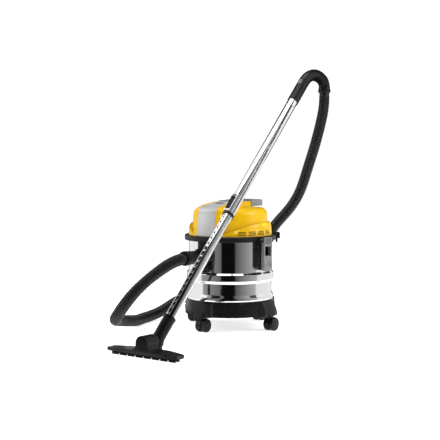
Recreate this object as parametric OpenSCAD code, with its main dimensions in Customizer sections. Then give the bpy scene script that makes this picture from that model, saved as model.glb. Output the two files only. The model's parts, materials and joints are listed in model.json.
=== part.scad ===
// Wet and dry canister vacuum cleaner: a steel drum on four castors, a lift-off motor head,
// a corrugated hose, a telescopic wand and a floor nozzle, in millimetres.
// +Z is up and the inlet faces -Y. The origin is on the floor under the middle of the whole set.

/* [Drum] */
// Outer radius of the drum wall
drum_r = 150; // [148:1:151]
// Height of the drum's rolled rim above the floor
drum_top = 328; // [326:1:330]
// Thickness of the sheet steel
sheet = 1.2; // [0.8:0.1:1.5]

/* [Base] */
// Radius of the plastic base between its lobes
base_r = 162; // [160:1:165]
// Height of the base's underside above the floor
base_low = 54; // [54:1:56]
// Distance of each castor's swivel axis from the drum's axis
castor_pitch = 172; // [170:1:174]
// Radius of a castor wheel
wheel_r = 24; // [22:0.5:24]
// Trail of the castor wheels behind their swivel axis
castor_trail = 12; // [8:1:14]

/* [Head] */
// Outer radius of the dark collar that rests on the drum
collar_r = 165; // [164:0.5:171]
// Radius of the motor dome above the skirt
dome_r = 136; // [134:1:138]
// Height of the top of the carry handle
handle_top = 459; // [457:1:461]
// Half width of the light panel over the front and top of the head
panel_half = 38; // [34:1:42]

/* [Inlet and hose] */
// Height of the inlet port's axis
inlet_z = 268; // [265:1:270]
// Outer radius of the cuff that plugs into the inlet
cuff_r = 23; // [22:0.5:23]
// Outer radius of the corrugated hose
hose_r = 19; // [17:0.5:20]

/* [Wand] */
// Lean of the wand from upright, in degrees
wand_lean = 45; // [44:0.5:46]
// Length of the wand between the elbow's mouth and the grip's mouth
wand_len = 1012; // [1000:1:1020]
// Outer radius of the notched lower tube
lower_r = 17; // [16:0.5:17]
// Outer radius of the plain upper tube
upper_r = 18.3; // [18.3:0.1:18.6]
// Distance between the notches of the lower tube
notch_pitch = 24; // [20:1:28]

/* [Nozzle] */
// Width of the floor nozzle
nozzle_w = 284; // [260:2:300]
// Depth of the floor nozzle from front to back
nozzle_d = 64; // [60:1:70]
// Height of the nozzle body's rim above the floor
nozzle_low = 12; // [10:0.5:13]

/* [Hidden] */
$fn = 64;

// The drum's axis stands off the middle of the whole set by this much
drum_axis_x = -49;
drum_axis_y = 120;

run = 0.05; // radial clearance of a running fit
gap = 0.3; // gap between pieces of different bodies
eps = 0.01;

drum_low = 103;
rim_r = 2.6; // radius of the rolled wire in the drum's rim
flare_r = drum_r + 7;
bead_r = drum_r + 7;

collar_low = drum_top - 10;
collar_high = drum_top + 9;
collar_mid_r = drum_r + 1.5;

skirt_r = drum_r + 1;
skirt_high = 382;
shell_wall = 3;
plate_z = drum_top - 6;

seat_r = drum_r + 0.3; // inner face of a piece that hugs the drum
port_r = cuff_r + 6;

pin_r = 2.5;
pin_x = 181.5;
lever_half = 20;
lever_low = 215;
keeper_low = 219;
latch_turn = -8.5; // how far both latches stand round the drum from its X axis

// Mouth of the elbow, where the lower tube enters it
wand_foot = [150, -526, 110];
catch_s = 436; // distance of the catch from the elbow's mouth
upper_bore = lower_r + run;
grip_straight = 88;
grip_ease = 75; // turn of the easy bend, in degrees
grip_bend_1 = 107.5;
grip_bend_2 = 35;
grip_mouth = 12.6;
grip_dip = wand_lean + grip_ease - 90; // slope below level where the tight bend starts
grip_end_y = wand_foot[1] + (wand_len + grip_straight) * sin(wand_lean)
    + grip_bend_1 * (cos(wand_lean) + sin(grip_dip)) + grip_bend_2 * (1 - sin(grip_dip));
grip_end_z = wand_foot[2] + (wand_len + grip_straight) * cos(wand_lean)
    + grip_bend_1 * (cos(grip_dip) - sin(wand_lean)) - grip_bend_2 * cos(grip_dip);
elbow_straight = 74;
elbow_bend = 40;
barrel_y = wand_foot[1] - elbow_straight * sin(wand_lean) - elbow_bend * cos(wand_lean);
barrel_z = wand_foot[2] - elbow_straight * cos(wand_lean) - elbow_bend * (1 - sin(wand_lean));
barrel_r = 24;
nozzle_front = barrel_y - 58;
nozzle_high = 22.5;
strip_at = [6, 24]; // how far the two tuft strips stand behind the nozzle's front

// Points along the hose's middle, from the inlet cuff to the grip, chosen by hand
hose_route = [
    [0, -270, 268], [0, -332, 259], [-16, -399, 227], [-54, -444, 178], [-107, -454, 120],
    [-169, -426, 70], [-225, -358, 45], [-253, -252, 28], [-281, -176, 20], [-303, -89, 22],
    [-307, -9, 35], [-284, 70, 70], [-229, 141, 96], [-169, 195, 144], [-101, 231, 202],
    [-36, 254, 266], [9, 263, 343], [64, 283, 412], [104, 303, 485], [124, 321, 564],
    [138, 345, 644], [147, 371, 725], [150, 395, 804], [150, 399, 862]
];
hose_sides = 12;

yellow = [0.96, 0.78, 0.04];
steel = [0.80, 0.81, 0.82];
black = [0.13, 0.13, 0.14];
dark_grey = [0.22, 0.22, 0.23];
mid_grey = [0.45, 0.45, 0.46];
light_grey = [0.74, 0.74, 0.75];

// ---- Placing ----

module place() {
    translate([drum_axis_x, drum_axis_y, 0]) children();
}

// Turns a piece drawn on +X to one of the drum's sides: -1 is left, 1 is right
module side(s) {
    if (s > 0) children();
    else mirror([1, 0, 0]) children();
}

module latch_side(s) {
    rotate(latch_turn) side(s) children();
}

// Local +Z runs up the wand from the elbow's mouth, and local -Y is its upper face
module on_wand(s = 0) {
    translate(wand_foot) rotate([-wand_lean, 0, 0]) translate([0, 0, s]) children();
}

module tube(r_out, r_in, z0, z1) {
    rotate_extrude() polygon([[r_in, z0], [r_out, z0], [r_out, z1], [r_in, z1]]);
}

// Points of an arc in the plane, from angle a0 to a1
function arc(cx, cy, r, a0, a1, n) =
    [for (i = [0 : n]) let (a = a0 + (a1 - a0) * i / n) [cx + r * cos(a), cy + r * sin(a)]];

// ---- Drum and base ----

// The drum's solid of revolution, shrunk by t: a lower flare, a bead and a straight upper wall
module drum_form(t) {
    rotate_extrude($fn = 128) polygon([
        [0, drum_low + t], [flare_r - 3 - t, drum_low + t], [flare_r - t, drum_low + 3 + t],
        [flare_r - t, 118], [flare_r - 2 - t, 124], [drum_r - t, 133],
        [drum_r - t, 171], [bead_r - 2 - t, 176], [bead_r - t, 181],
        [bead_r - t, 200], [bead_r - 2 - t, 205], [drum_r - t, 210],
        [drum_r - t, drum_top - rim_r], [0, drum_top - rim_r]
    ]);
}

module drum() {
    color(steel) difference() {
        union() {
            drum_form(0);
            rotate_extrude($fn = 128) translate([drum_r, drum_top - rim_r]) circle(rim_r, $fn = 24);
        }
        drum_form(sheet);
        translate([0, 0, drum_top - 2 * rim_r - 1]) cylinder(r = drum_r - sheet, h = 20, $fn = 128);
        inlet_hole(port_r - 3);
        inlet_screw_holes();
    }
}

module inlet_hole(r) {
    translate([0, -drum_r + 25, inlet_z]) rotate([90, 0, 0]) cylinder(r = r, h = 60);
}

module lobe() {
    intersection() {
        translate([0, 0, base_low]) linear_extrude(50) union() {
            translate([castor_pitch - 26, 0]) circle(44);
            translate([110, -44]) square([castor_pitch - 136, 88]);
            translate([110, -36]) square([castor_pitch - 100, 72]);
        }
        translate([0, 0, base_low]) cylinder(r1 = 190, r2 = 171, h = 50, $fn = 128);
    }
}

module base() {
    floor_z = drum_low - 5;
    color(black) difference() {
        union() {
            translate([0, 0, base_low]) cylinder(r1 = base_r + 2, r2 = base_r - 1, h = 54, $fn = 128);
            for (k = [0 : 3]) rotate(90 * k) lobe();
        }
        translate([0, 0, drum_low - eps]) cylinder(r = flare_r + 0.2, h = 20, $fn = 128);
        difference() {
            translate([0, 0, base_low - 1]) cylinder(r = base_r - 5, h = floor_z - base_low + 1);
            for (k = [0 : 3]) rotate(90 * k) {
                translate([castor_pitch, 0, base_low - 1]) cylinder(r = 30, h = 60);
                rotate(45) translate([-3, 0, base_low + 8]) cube([6, base_r, 50]);
            }
        }
        for (k = [0 : 3]) rotate(90 * k) translate([castor_pitch, 0, base_low - 1])
            cylinder(r = 5.5 + run, h = 25);
        for (k = [0 : 3]) rotate(90 * k + 20) translate([120, 0, floor_z - 1]) cylinder(r = 2.1, h = 20);
    }
}

module base_screws() {
    color(steel) for (k = [0 : 3]) rotate(90 * k + 20) translate([120, 0, 0]) {
        translate([0, 0, drum_low - 9.2]) cylinder(r = 4.5, h = 4);
        translate([0, 0, drum_low - 6]) cylinder(r = 2, h = 5.9);
    }
}

// ---- Inlet ----

module hugging_shell(r_in, r_out, z0, z1) {
    difference() {
        translate([0, 0, z0]) cylinder(r = r_out, h = z1 - z0, $fn = 128);
        translate([0, 0, z0 - 1]) cylinder(r = r_in, h = z1 - z0 + 2, $fn = 128);
    }
}

module inlet_outline(half, z0, z1, round_r) {
    rotate([90, 0, 0]) linear_extrude(200) union() {
        translate([-half, z0 + round_r]) square([2 * half, z1 - z0 - round_r]);
        translate([-half + round_r, z0]) square([2 * (half - round_r), round_r + 1]);
        for (s = [-1, 1]) translate([s * (half - round_r), z0 + round_r]) circle(round_r, $fn = 32);
    }
}

module inlet_screw_holes() {
    for (x = [-19, 19], z = [222, 308]) translate([x, -120, z]) rotate([90, 0, 0])
        cylinder(r = 2.1, h = 40, $fn = 24);
}

module inlet_port() {
    color(black) difference() {
        union() {
            intersection() {
                hugging_shell(drum_r + 1.6, drum_r + 6.5, 200, collar_low - gap);
                inlet_outline(28.5, 211, collar_low - gap, 16);
            }
            translate([0, -drum_r + 2, inlet_z]) rotate([90, 0, 0])
                cylinder(r1 = port_r + 3, r2 = port_r, h = 34);
            translate([0, -drum_r + 14, inlet_z]) rotate([90, 0, 0]) cylinder(r = port_r - 3.2, h = 20);
        }
        intersection() {
            translate([0, 0, inlet_z - 60]) cylinder(r = drum_r + 1.6, h = 120, $fn = 128);
            difference() {
                translate([0, -drum_r + 30, inlet_z]) rotate([90, 0, 0]) cylinder(r = 60, h = 60);
                inlet_hole(port_r - 3.2);
            }
        }
        inlet_hole(cuff_r + run);
        translate([0, -drum_r + 30, inlet_z]) rotate([90, 0, 0]) cylinder(r = cuff_r + run, h = 90);
        inlet_screw_holes();
    }
}

module inlet_gasket() {
    color(black) difference() {
        intersection() {
            hugging_shell(drum_r + 0.1, drum_r + 1.5, 200, collar_low);
            inlet_outline(27.5, 212, collar_low - 2, 15);
        }
        inlet_hole(port_r - 3);
        inlet_screw_holes();
    }
}

module inlet_screws() {
    color(steel) for (x = [-19, 19], z = [222, 308]) {
        face_y = -sqrt(pow(drum_r + 6.5, 2) - 19 * 19);
        translate([x, face_y - 0.6, z]) rotate([90, 0, 0]) cylinder(r = 3.6, h = 2.2, $fn = 32);
        translate([x, face_y + 10, z]) rotate([90, 0, 0]) cylinder(r = 1.9, h = 10.8, $fn = 24);
    }
}

// Hood inside the drum that turns the incoming air down
module inlet_deflector() {
    color(dark_grey) translate([0, -drum_r + 14.05, inlet_z]) rotate([-90, 0, 0]) difference() {
        union() {
            cylinder(r = port_r + 1, h = 3);
            translate([-26, -28, 0]) cube([52, 28, 30]);
            cylinder(r = 28, h = 30);
        }
        translate([0, 0, -1]) cylinder(r = cuff_r + 1, h = 4.1);
        translate([0, 0, 3]) cylinder(r = 25, h = 24);
        translate([-23, 0, 3]) cube([46, 60, 40]);
    }
}

module hose_cuff_lower() {
    color(black) translate([0, 0, inlet_z]) rotate([90, 0, 0]) difference() {
        union() {
            translate([0, 0, drum_r - 4]) cylinder(r = cuff_r, h = 104);
            translate([0, 0, 250]) cylinder(r = cuff_r + 1.6, h = 20);
            for (z = [253, 258, 263]) translate([0, 0, z]) cylinder(r = cuff_r + 2.6, h = 2.4);
            for (a = [5 : 30 : 335]) rotate(a) translate([cuff_r - 1, -1, 230]) cube([2, 2, 21]);
        }
        translate([0, 0, drum_r - 5]) cylinder(r = hose_r - 2, h = 130);
        translate([0, 0, 264]) cylinder(r = hose_r + 1, h = 14);
    }
}

// ---- Hose ----

function unit(v) = v / norm(v);
function route_dir(p, i) = unit(p[min(i + 1, len(p) - 1)] - p[max(i - 1, 0)]);
// The ring's first direction is kept square to the path by projecting the last one
function ring_side(p, i, last) = unit(last - (last * route_dir(p, i)) * route_dir(p, i));
function ring_sides(p, i, last) =
    i == len(p) ? [] : let (u = ring_side(p, i, last)) concat([u], ring_sides(p, i + 1, u));

module swept_tube(p, r, n) {
    us = ring_sides(p, 0, [1, 0, 0]);
    rings = [for (i = [0 : len(p) - 1]) let (u = us[i], v = cross(route_dir(p, i), u))
        for (k = [0 : n - 1]) p[i] + r * (cos(360 * k / n) * u + sin(360 * k / n) * v)];
    last = len(p) - 1;
    walls = [for (i = [0 : last - 1], k = [0 : n - 1])
        [i * n + k, (i + 1) * n + k, (i + 1) * n + (k + 1) % n, i * n + (k + 1) % n]];
    caps = [[for (k = [0 : n - 1]) k], [for (k = [n - 1 : -1 : 0]) last * n + k]];
    polyhedron(rings, concat(walls, caps));
}

module hose() {
    color(black) swept_tube(hose_route, hose_r, hose_sides);
}

// ---- Castors ----

// Castor k stands on the front, right, back or left lobe
module at_castor(k) {
    a = [-90, 0, 90, 180][k];
    translate([castor_pitch * cos(a), castor_pitch * sin(a), 0]) children();
}

module castor_yoke(k) {
    color(black) at_castor(k) difference() {
        union() {
            translate([0, 0, base_low - 4]) cylinder(r = 5.5, h = 26);
            translate([0, 0, base_low - 5]) cylinder(r = 13, h = 5 - gap);
            translate([-5.6, castor_trail, wheel_r]) rotate([0, 90, 0]) cylinder(r = wheel_r + 2.5, h = 11.2);
            translate([-5.6, -6, wheel_r]) cube([11.2, 18, 26]);
        }
        translate([-6, -40, -5]) cube([12, 80, wheel_r - 4]);
        translate([-20, castor_trail, wheel_r]) rotate([0, 90, 0]) cylinder(r = 3.02, h = 40);
    }
}

module castor_wheels(k) {
    color(dark_grey) at_castor(k) translate([0, castor_trail, wheel_r]) rotate([0, 90, 0])
        for (s = [0, 1]) mirror([0, 0, s]) rotate_extrude() polygon(concat(
            [[3 + run, 6], [wheel_r - 0.6, 6], [wheel_r, 6.6]],
            arc(wheel_r - 3, 16, 3, 0, 80, 4),
            [[wheel_r - 9, 20], [wheel_r - 10, 19], [9, 21], [3 + run, 21]]
        ));
}

module castor_axle(k) {
    color(black) at_castor(k) translate([-20.5, castor_trail, wheel_r]) rotate([0, 90, 0])
        cylinder(r = 3, h = 41, $fn = 32);
}

// ---- Collar, latches and hook ----

module collar() {
    color(dark_grey) union() {
        rotate_extrude($fn = 128) polygon([
            [144, collar_low + 2], [147, collar_low + 2], [147, collar_high - 6],
            [collar_mid_r + 5, collar_high - 6], [collar_mid_r + 5, collar_low],
            [collar_r - 2, collar_low], [collar_r, collar_low + 2],
            [collar_r, collar_high - 3], [collar_r - 3, collar_high - gap], [144, collar_high - gap]
        ]);
        for (s = [-1, 1], t = [-1, 1]) latch_side(s) difference() {
            translate([collar_r - 4, t > 0 ? lever_half + 0.4 : -lever_half - 6.4, collar_low])
                cube([pin_x - collar_r + 11, 6, collar_high - collar_low - gap]);
            translate([pin_x, -40, drum_top]) rotate([-90, 0, 0]) cylinder(r = pin_r + 0.02, h = 80, $fn = 32);
        }
    }
}

module drum_seal() {
    color(black) rotate_extrude($fn = 128) polygon([
        [147.2, drum_top + 0.4], [155.8, drum_top + 0.4], [155.8, collar_high - 6.1], [147.2, collar_high - 6.1]
    ]);
}

// Outline of a latch piece seen along its radius, rounded at its lower end
module latch_outline(half, low) {
    round_r = 14;
    translate([120, 0, 0]) rotate([0, 90, 0]) rotate(90) linear_extrude(80) union() {
        translate([-half, low + round_r]) square([2 * half, 130]);
        translate([-half + round_r, low]) square([2 * (half - round_r), 2 * round_r]);
        for (t = [-1, 1]) translate([t * (half - round_r), low + round_r]) circle(round_r, $fn = 32);
    }
}

module latch_keeper(s) {
    color(black) latch_side(s) difference() {
        intersection() {
            translate([120, -27, keeper_low]) cube([51.5, 54, collar_low - gap - keeper_low]);
            latch_outline(27, keeper_low);
        }
        translate([0, 0, 190]) cylinder(r = seat_r, h = 140, $fn = 128);
        translate([150, -15, 232]) cube([60, 30, 74]);
    }
}

module latch_lever(s) {
    color(mid_grey) latch_side(s) difference() {
        intersection() {
            translate([0, lever_half, 0]) rotate([90, 0, 0]) linear_extrude(2 * lever_half) union() {
                translate([pin_x, drum_top]) circle(7.5, $fn = 32);
                polygon(concat(
                    [[174.2, drum_top - 12], [172, 250], [172, 222]],
                    arc(178, 222, 6, 180, 270, 4), [[184, lever_low], [187.5, 220], [188.5, 240], [187, 262]],
                    [[187.5, 300], [pin_x + 7.4, drum_top], [pin_x, drum_top]]
                ));
            }
            latch_outline(lever_half, lever_low);
        }
        translate([pin_x, -40, drum_top]) rotate([-90, 0, 0]) cylinder(r = pin_r + run, h = 80, $fn = 32);
        translate([160, -15, 270]) cube([40, 30, 33]);
        for (y = [-14 : 8 : 10]) translate([pin_x + 3.8, y, 311]) cube([20, 4, 40]);
        translate([209, 0, 236]) sphere(26);
    }
}

module latch_pin(s) {
    color(steel) latch_side(s) translate([pin_x, -lever_half - 6.4, drum_top]) rotate([-90, 0, 0])
        cylinder(r = pin_r, h = 2 * lever_half + 12.8, $fn = 32);
}

// Sits astride the collar's edge, with a prong above and a pin below
module cable_hook() {
    color(black) rotate(45) difference() {
        union() {
            translate([154, -13, collar_low + 2]) cube([27, 26, 22]);
            translate([154, -9, collar_high]) cube([5.5, 18, 36]);
            translate([168, -4, collar_low - 13]) cube([6, 8, 20]);
        }
        translate([0, 0, collar_low - 20])
            cylinder(r = collar_r + 0.05, h = collar_high - gap - collar_low + 20.05, $fn = 128);
    }
}

// ---- Head ----

// Revolved form of the raised middle band, grown by t
module band_form(t) {
    rotate_extrude($fn = 128) polygon(concat(
        [[0, collar_high], [skirt_r + 1 + t, collar_high], [148.5 + t, 380], [142 + t, 418]],
        arc(125, 421, 17 + t, 0, 70, 6), [[0, 480]]
    ));
}

// The band's side outline, grown by t, swept across its half width
module band(t, half) {
    intersection() {
        band_form(t);
        translate([-half, 0, 0]) rotate([90, 0, 90]) linear_extrude(2 * half) polygon([
            [-170, collar_high], [-170, 430 + t], [-126, 438.5 + t], [-70, 448.5 + t],
            [-18, 454.5 + t], [52, 454.5 + t], [52, collar_high]
        ]);
    }
}

module dome_form(t) {
    rotate_extrude($fn = 128) polygon(concat(
        [[0, collar_high], [dome_r + 1 - t, collar_high], [dome_r - 1 - t, 385]],
        arc(dome_r - 25, 411, 22 - t, 0, 80, 6), [[60, 436 - t], [0, 437 - t]]
    ));
}

module skirt_form(t) {
    difference() {
        rotate_extrude($fn = 128) polygon([
            [0, collar_high], [skirt_r - t, collar_high], [skirt_r - 1 - t, 350],
            [skirt_r - 4 - t, skirt_high - 8 - t], [skirt_r - 8 - t, skirt_high - t], [0, skirt_high - t]
        ]);
        translate([0, -8, 250 + collar_high]) rotate([90, 0, 0]) cylinder(r = 250 + t, h = 200, $fn = 128);
    }
}

module vent_slots(s) {
    for (row = [0 : 2], col = [0 : 3]) side(s) rotate(-37.7 + 15.3 * col)
        translate([130, -17 + 1.5 * row, 340.5 + 5.5 * row]) cube([40, 34 - 3 * row, 3]);
}

// Hollow behind the slots on side s, from the motor space out to the skirt's wall
module exhaust_space(s, r0, r1, z0, z1) {
    side(s) rotate(-47) rotate_extrude(angle = 65, $fn = 128)
        polygon([[r0, z0], [r1, z0], [r1, z1], [r0, z1]]);
}

module head_shell() {
    color(yellow) difference() {
        union() {
            skirt_form(0);
            dome_form(0);
            band(0, 55);
        }
        translate([0, 0, -eps]) dome_form(shell_wall);
        for (s = [-1, 1]) exhaust_space(s, 125, 147, collar_high - 1, 357);
        difference() {
            band(2, panel_half + 0.3);
            band(-2.2, panel_half + 1);
            translate([-60, -20, 300]) cube([120, 100, 200]);
        }
        translate([-panel_half - 0.3, -20.4, 452]) cube([2 * panel_half + 0.6, 80, 10]);
        translate([-16, -69, 425]) rotate([9, 0, 0]) cube([32, 22, 40]);
        translate([-42, 60, 404]) cube([84, 52, 60]);
        translate([-57.4, 51.6, 433]) cube([114.8, 100, 40]);
        for (s = [-1, 1]) vent_slots(s);
        translate([-50, 120, 360]) rotate([-90, 0, 0]) cylinder(r = 9.1, h = 60);
    }
    color(yellow) difference() {
        translate([-44.5, 57.5, 401.5]) cube([89, 57, 30.5]);
        translate([-42, 60, 404]) cube([84, 52, 60]);
    }
}

module front_panel() {
    color(light_grey) difference() {
        intersection() {
            difference() {
                band(0.8, panel_half);
                band(-2, panel_half + 1);
            }
            translate([-60, -170, collar_high + 0.5]) cube([120, 149.3, 200]);
        }
        translate([-15.6, -68.6, 425]) rotate([9, 0, 0]) cube([31.2, 21.2, 40]);
    }
}

module carry_handle() {
    color(mid_grey) difference() {
        union() {
            translate([-panel_half, -20, 452.4]) cube([2 * panel_half, 80, handle_top - 452.4]);
            translate([-57, 52, 437]) cube([114, 68, handle_top - 437]);
            intersection() {
                translate([-57, 119, 437]) cube([114, 30, handle_top - 437]);
                translate([0, 40, 400]) cylinder(r = 100, h = 100);
            }
        }
        translate([-42, 54, 430]) cube([84, 62, 40]);
        translate([-42, 45, 430]) cube([84, 20, 20]);
    }
}

switch_at = [0, -62, 449.5];
module power_switch() {
    color(mid_grey) translate(switch_at) rotate([9, 0, 0]) translate([0, 0, 0.5]) rotate([-8, 0, 0]) union() {
        translate([-14, -8, -7]) cube([28, 16, 10]);
        translate([-15, 0, -3]) rotate([0, 90, 0]) cylinder(r = 2, h = 30, $fn = 24);
    }
}

module motor_plate() {
    color(black) difference() {
        tube(143.8, 36, plate_z, plate_z + 4);
        for (a = [30 : 60 : 330]) rotate(a) translate([100, 0, plate_z - 1]) cylinder(r = 2, h = 6, $fn = 24);
    }
}

module motor_can() {
    color(steel) rotate_extrude() polygon([
        [47.5, 354.5], [58, 354.5], [58, 357], [50, 357], [50, 400], [40, 412], [12, 416],
        [12, 410], [38, 408], [47.5, 398]
    ]);
}

module motor_bearings() {
    color(steel) for (z = [346, 410.5]) tube(z < 400 ? 9 : 11.9, 4 + run, z, z + 5);
}

module motor_rotor() {
    color([0.72, 0.45, 0.2]) union() {
        translate([0, 0, 329]) cylinder(r = 4, h = 87, $fn = 48);
        difference() {
            translate([0, 0, 362]) cylinder(r = 30, h = 34);
            for (a = [0 : 30 : 330]) rotate(a) translate([26, -1.5, 360]) cube([8, 3, 40]);
        }
        translate([0, 0, 399]) cylinder(r = 14, h = 8);
    }
}

module impeller() {
    color(light_grey) difference() {
        union() {
            translate([0, 0, 330]) cylinder(r = 54, h = 1.5);
            translate([0, 0, 341]) cylinder(r = 54, h = 1.5);
            for (a = [0 : 45 : 315]) rotate(a) difference() {
                translate([30, 0, 331]) cylinder(r = 24, h = 11);
                translate([30, 0, 330]) cylinder(r = 22.5, h = 13);
                translate([0, -60, 330]) cube([60, 60, 13]);
            }
            translate([0, 0, 330]) cylinder(r = 8, h = 12.5);
        }
        translate([0, 0, 329]) cylinder(r = 4, h = 20, $fn = 48);
        translate([0, 0, 329]) difference() {
            cylinder(r = 20, h = 2.6);
            cylinder(r = 8, h = 3);
        }
    }
}

module fan_shroud() {
    color(dark_grey) rotate_extrude() polygon([
        [60, plate_z + 4.1], [63, plate_z + 4.1], [63, 354], [9.1, 354],
        [9.1, 346], [14, 346], [14, 351], [60, 351]
    ]);
}

module float_cage() {
    color(light_grey) difference() {
        union() {
            tube(34, 32, 262, plate_z - 0.1);
            translate([0, 0, 262]) cylinder(r = 34, h = 2);
            tube(39, 32, plate_z - 3, plate_z - 0.1);
        }
        for (a = [0 : 30 : 330]) rotate(a) translate([20, -5, 270]) cube([30, 10, 40]);
        for (a = [0 : 60 : 300]) rotate(a) translate([18, 0, 260]) cylinder(r = 5, h = 6);
    }
}

module float_ball() {
    color(yellow) translate([0, 0, 284.3]) sphere(20);
}

filter_pleats = 48;
module filter() {
    color([0.88, 0.86, 0.8]) union() {
        translate([0, 0, 252]) linear_extrude(66) difference() {
            polygon([for (i = [0 : 2 * filter_pleats - 1])
                let (r = i % 2 == 0 ? 61 : 52, a = 180 * i / filter_pleats) [r * cos(a), r * sin(a)]]);
            circle(45);
        }
        tube(63, 42, 317, plate_z - 0.1);
        tube(63, 42, 248, 253);
    }
}

module exhaust_filter() {
    color(black) for (s = [-1, 1]) exhaust_space(s, 142, 146.5, collar_high + 1, 356);
}

gland_len = 34;
// The mains lead passes through the gland
module cable_gland() {
    color(black) translate([-50, 0, 360]) rotate([-90, 0, 0]) difference() {
        union() {
            translate([0, 0, 128]) cylinder(r = 9, h = gland_len);
            translate([0, 0, 147]) cylinder(r = 13, h = 5, $fn = 6);
        }
        translate([0, 0, 120]) cylinder(r = 4, h = 50, $fn = 48);
    }
}

module head_screws() {
    color(steel) for (a = [30 : 60 : 330]) rotate(a) translate([100, 0, plate_z]) {
        translate([0, 0, -2.3]) cylinder(r = 4, h = 2.2, $fn = 32);
        translate([0, 0, -0.2]) cylinder(r = 1.9, h = 9, $fn = 24);
    }
}

// ---- Wand ----

// The inner tube, with a row of shallow notches for the catch along its upper face
module lower_tube() {
    notches = 17;
    color(steel) on_wand() difference() {
        tube(lower_r, lower_r - 1.3, -60, catch_s + 55);
        for (i = [0 : notches - 1]) translate([-4.5, -lower_r - 1, 26 + notch_pitch * i]) cube([9, 1.7, 14]);
    }
}

module upper_tube() {
    color(steel) on_wand() union() {
        tube(upper_r, upper_bore, catch_s, wand_len + 60);
        tube(upper_r + 0.5, upper_bore, wand_len - 46, wand_len - 42);
    }
}

module catch_sleeve() {
    color(steel) on_wand(catch_s) difference() {
        union() {
            tube(upper_r + 1.6, upper_r + 0.02, 6, 84);
            translate([-10, -upper_r - 3.4, 8]) cube([20, 9.4, 74]);
        }
        translate([0, 0, 5]) cylinder(r = upper_r + 0.02, h = 90);
        translate([-8.3, -upper_r - 12, 16]) cube([16.6, 10.6, 64]);
    }
}

module catch_ring() {
    color(black) on_wand(catch_s) tube(upper_r + 2.6, upper_r + 0.02, -1, 5.9);
}

module catch_button() {
    color(black) on_wand(catch_s) union() {
        translate([-8, -upper_r - 5.4, 17]) cube([16, 3.6, 52]);
        for (z = [22 : 6 : 58]) translate([-7, -upper_r - 6.2, z]) cube([14, 2, 2.5]);
        translate([-8, -upper_r - 7.2, 64]) cube([16, 4, 5]);
    }
}

// Arc of a pipe that starts at the origin along +Z and turns towards +Y
module bend(bend_r, turn, r_out, r_in) {
    translate([0, bend_r, 0]) rotate([90, 0, -90]) rotate_extrude(angle = turn) translate([bend_r, 0])
        difference() {
            circle(r_out);
            circle(r_in);
        }
}

module past_bend(bend_r, turn) {
    translate([0, bend_r * (1 - cos(turn)), bend_r * sin(turn)]) rotate([-turn, 0, 0]) children();
}

module at_hose_end() {
    translate([wand_foot[0], grip_end_y, grip_end_z - grip_mouth]) children();
}

// A straight socket over the wand, an easy bend, a tight one to straight down and a flared mouth,
// with a low ridge over each seam
module grip() {
    color(black) on_wand(wand_len) union() {
        difference() {
            tube(20.5, 16, -16, grip_straight);
            translate([0, 0, -17]) cylinder(r = upper_r + 0.02, h = 77.1);
            translate([-6.6, -21, 62]) cube([13.2, 2.7, 34]);
        }
        translate([0, 0, grip_straight]) {
            tube(21.2, 15.9, -1.2, 1.2);
            bend(grip_bend_1, grip_ease, 20.5, 16);
            past_bend(grip_bend_1, grip_ease) {
                tube(21.2, 15.9, -1.2, 1.2);
                bend(grip_bend_2, 180 - wand_lean - grip_ease, 20.5, 16);
                past_bend(grip_bend_2, 180 - wand_lean - grip_ease) grip_flare();
            }
        }
    }
}

module grip_flare() {
    difference() {
        union() {
            tube(21.5, 15.9, -1.2, 0);
            cylinder(r1 = 21.5, r2 = 25, h = grip_mouth);
        }
        translate([0, 0, grip_mouth - 10]) cylinder(r = 21 + run, h = 11);
        translate([0, 0, -5]) cylinder(r = 15.9, h = 40);
    }
}

module bleed_slider() {
    color(mid_grey) on_wand(wand_len) union() {
        translate([-6, -22, 63]) cube([12, 3.2, 20]);
        for (z = [66 : 4 : 78]) translate([-5, -23, z]) cube([10, 2, 1.6]);
    }
}

module hose_cuff_upper() {
    color(dark_grey) at_hose_end() difference() {
        union() {
            translate([0, 0, -6]) cylinder(r = 22, h = 5.7);
            translate([0, 0, -1]) cylinder(r = 21, h = 10.7);
        }
        translate([0, 0, -7]) cylinder(r = hose_r + 0.8, h = 9.5);
        translate([0, 0, -7]) cylinder(r = 16, h = 40);
    }
}

// ---- Elbow and nozzle ----

module elbow() {
    color(black) union() {
        on_wand() difference() {
            union() {
                tube(20.5, 15.5, -elbow_straight, 0);
                tube(21.5, 15.5, -8, 0);
            }
            translate([0, 0, -60.1]) cylinder(r = lower_r + 0.02, h = 70);
        }
        on_wand() rotate([180, 0, 0]) translate([0, 0, elbow_straight])
            bend(elbow_bend, 90 - wand_lean, 20.5, 15.5);
        translate([150, barrel_y, barrel_z]) rotate([90, 0, 0]) tube(18, 15.2, -1, 30);
    }
}

module swivel_ring() {
    color(dark_grey) translate([150, barrel_y - 0.3, barrel_z]) rotate([90, 0, 0])
        tube(23, 18 + 0.02, 0, 6);
}

// The nozzle's plan: a bar whose back tapers towards the ends
module nozzle_plan(t) {
    h = nozzle_w / 2;
    polygon([
        [-h + t, nozzle_front + t], [h - t, nozzle_front + t], [h - t, nozzle_front + 34 - t],
        [h - 16 - t, nozzle_front + 42 - t], [60, nozzle_front + nozzle_d - t],
        [-60, nozzle_front + nozzle_d - t],
        [-h + 16 + t, nozzle_front + 42 - t], [-h + t, nozzle_front + 34 - t]
    ]);
}

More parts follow.
